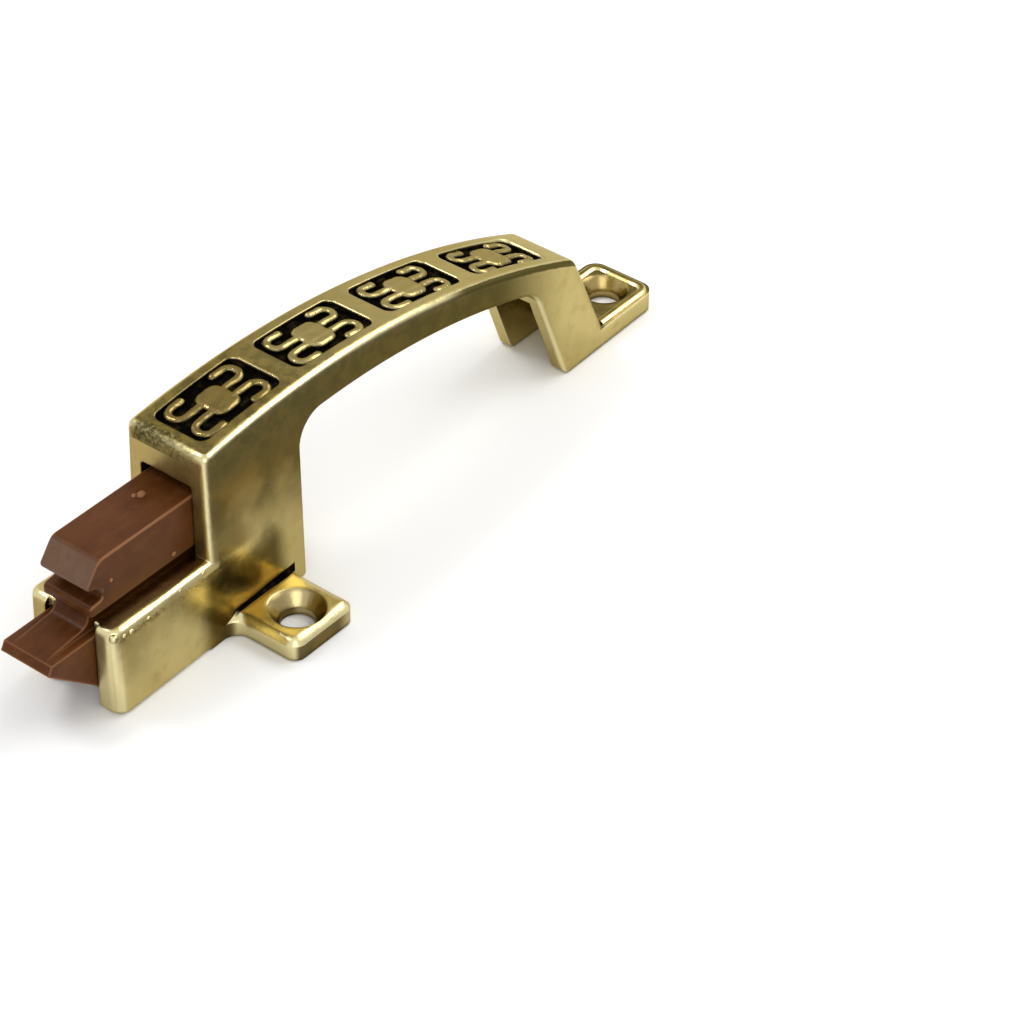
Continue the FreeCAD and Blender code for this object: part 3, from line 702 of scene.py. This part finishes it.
def dress_nodes():
    brass = antique_brass("antique_brass_look", False)
    plastic = brown_plastic("brown_plastic_look", rgb(68, 35, 11), rgb(86, 48, 20))
    # Lighter plastic for the gate marks: torn plastic, and partly a painted highlight on the bumps
    torn_and_highlit_plastic = brown_plastic("torn_and_highlit_plastic_look", rgb(120, 76, 44), rgb(150, 104, 66))
    dress("handle_body", brass)
    ornament_domes(antique_brass("relief_brass_look", True))
    tab_border(brass)
    dress("catch_slide", plastic)
    moulding_marks(brass, torn_and_highlit_plastic)
    dress("return_spring", steel("spring_steel_look", rgb(170, 170, 172), 2500.0))
    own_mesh(frame["nodes"]["return_spring"])
    dress("base_plate", steel("plate_steel_look", rgb(188, 184, 170), 1800.0))


def floor():
    bpy.ops.mesh.primitive_plane_add(size=12.0, location=(0, 0, -0.0002))
    plane = bpy.context.object
    plane.name = "floor"
    tree = Tree("floor_white")
    shader = tree.node("BsdfPrincipled", {"Base Color": (0.9, 0.9, 0.9, 1.0), "Roughness": 0.9})
    plane.data.materials.append(tree.finish(shader.outputs["BSDF"]))


def softbox(name, place, aim, size, power, colour=(1.0, 1.0, 1.0)):
    data = bpy.data.lights.new(name, "AREA")
    data.shape = "RECTANGLE"
    data.size, data.size_y = size
    data.energy = power
    data.color = colour
    lamp = bpy.data.objects.new(name, data)
    bpy.context.scene.collection.objects.link(lamp)
    lamp.location = place
    lamp.rotation_mode = "QUATERNION"
    lamp.rotation_quaternion = (Vector(aim) - Vector(place)).to_track_quat("-Z", "Y")


def world():
    made = bpy.data.worlds.new("studio")
    bpy.context.scene.world = made
    made.use_nodes = True
    nodes = made.node_tree.nodes
    links = made.node_tree.links
    nodes.clear()
    out = nodes.new("ShaderNodeOutputWorld")
    seen = nodes.new("ShaderNodeBackground")
    seen.inputs["Color"].default_value = (1, 1, 1, 1)
    seen.inputs["Strength"].default_value = 1.0
    light = nodes.new("ShaderNodeBackground")
    light.inputs["Color"].default_value = (1, 1, 1, 1)
    light.inputs["Strength"].default_value = 0.7
    path = nodes.new("ShaderNodeLightPath")
    either = nodes.new("ShaderNodeMath")
    either.operation = "MAXIMUM"
    links.new(path.outputs["Is Camera Ray"], either.inputs[0])
    links.new(path.outputs["Is Glossy Ray"], either.inputs[1])
    third = nodes.new("ShaderNodeMath")
    third.operation = "MAXIMUM"
    links.new(either.outputs[0], third.inputs[0])
    links.new(path.outputs["Is Transmission Ray"], third.inputs[1])
    mix = nodes.new("ShaderNodeMixShader")
    links.new(third.outputs[0], mix.inputs[0])
    links.new(light.outputs[0], mix.inputs[1])
    links.new(seen.outputs[0], mix.inputs[2])
    links.new(mix.outputs[0], out.inputs["Surface"])


def camera():
    data = bpy.data.cameras.new("camera")
    data.lens = CAMERA_LENS
    data.sensor_width = 36.0
    data.sensor_fit = "HORIZONTAL"
    data.shift_x, data.shift_y = CAMERA_SHIFT
    data.clip_start = 0.01
    data.clip_end = 50.0
    azimuth = math.radians(CAMERA_AZIMUTH)
    elevation = math.radians(CAMERA_ELEVATION)
    roll = math.radians(CAMERA_ROLL)
    back = Vector((math.sin(azimuth) * math.cos(elevation), -math.cos(azimuth) * math.cos(elevation), math.sin(elevation)))
    level = Vector((math.cos(azimuth), math.sin(azimuth), 0.0))
    upright = back.cross(level)
    right = level * math.cos(roll) + upright * math.sin(roll)
    up = upright * math.cos(roll) - level * math.sin(roll)
    seen = bpy.data.objects.new("camera", data)
    bpy.context.scene.collection.objects.link(seen)
    turn = Matrix((right, up, back)).transposed().to_4x4()
    seen.matrix_world = Matrix.Translation(CAMERA_PLACE) @ turn
    bpy.context.scene.camera = seen


def lamps():
    softbox("key", (0.79, -0.27, 1.0), (0, 0, 0), (1.25, 0.6), 8.5)
    softbox("back", (-0.35, 0.75, 1.25), (0, 0, 0), (0.5, 0.4), 6.0)
    softbox("fill", (-0.9, -0.9, 0.9), (0, 0, 0), (0.9, 0.9), 5.0)


dress_nodes()
floor()
lamps()
world()
camera()
bpy.context.scene.view_settings.view_transform = "Standard"
